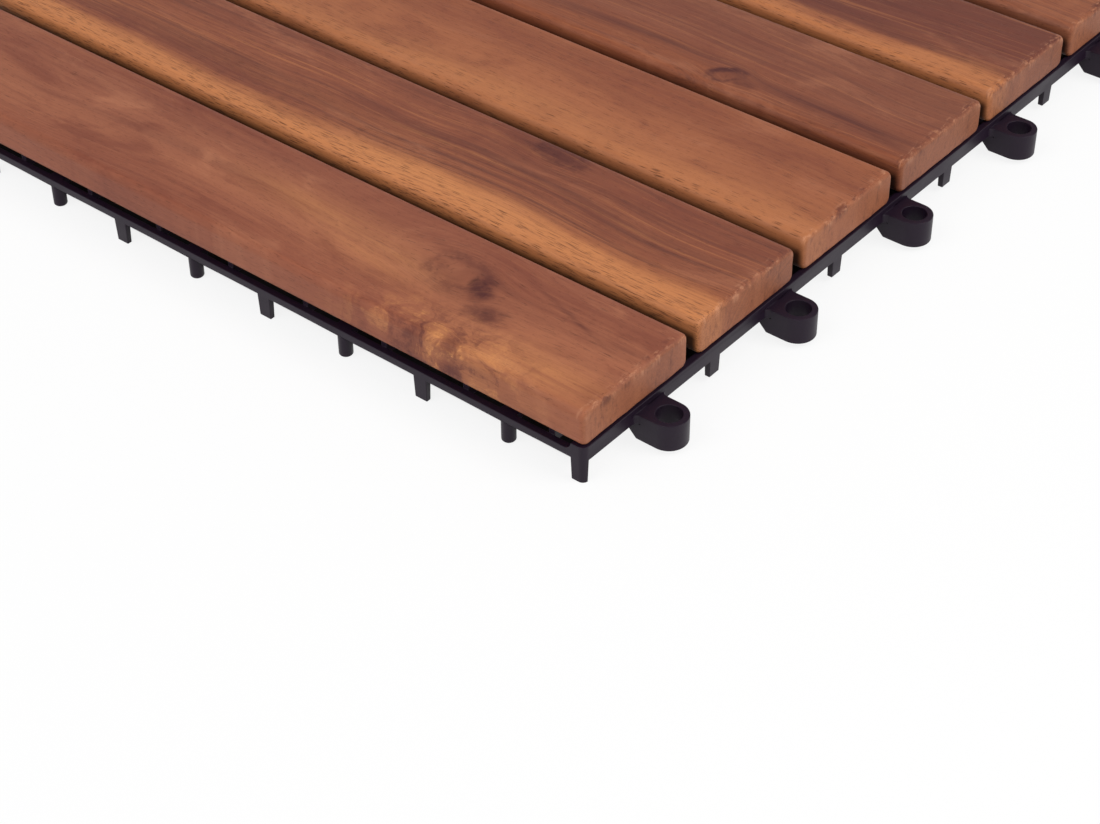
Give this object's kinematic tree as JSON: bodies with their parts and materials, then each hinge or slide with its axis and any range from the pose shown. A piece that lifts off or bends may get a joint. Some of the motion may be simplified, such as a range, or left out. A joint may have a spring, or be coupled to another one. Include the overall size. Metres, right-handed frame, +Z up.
{
  "type": "interlocking deck tile",
  "caption": "Square outdoor floor tile of hardwood slats screwed to a moulded plastic lattice base, with loops on two sides that drop over the next tile's pegs.",
  "frame": {"origin": "middle of the tile's module on the ground, at the tip of the middle foot", "axes": "+Z up; +X along the slats, towards the high loops; +Y across the slats, towards the low loops"},
  "size_m": [0.3078, 0.3078, 0.0238],
  "materials": {
    "base": "satin moulded, black",
    "slats": "oiled reddish-brown hardwood",
    "screws": "plain zinc-plated"
  },
  "bodies": {
    "root": {"base_grid": "base", "slat_1": "slats", "slat_2": "slats", "slat_3": "slats", "slat_4": "slats", "slat_5": "slats", "slat_6": "slats", "screw_1_1": "screws", "screw_1_2": "screws", "screw_1_3": "screws", "screw_1_4": "screws", "screw_2_1": "screws", "screw_2_2": "screws", "screw_2_3": "screws", "screw_2_4": "screws", "screw_3_1": "screws", "screw_3_2": "screws", "screw_3_3": "screws", "screw_3_4": "screws", "screw_4_1": "screws", "screw_4_2": "screws", "screw_4_3": "screws", "screw_4_4": "screws", "screw_5_1": "screws", "screw_5_2": "screws", "screw_5_3": "screws", "screw_5_4": "screws", "screw_6_1": "screws", "screw_6_2": "screws", "screw_6_3": "screws", "screw_6_4": "screws"}
  },
  "joints": []
}
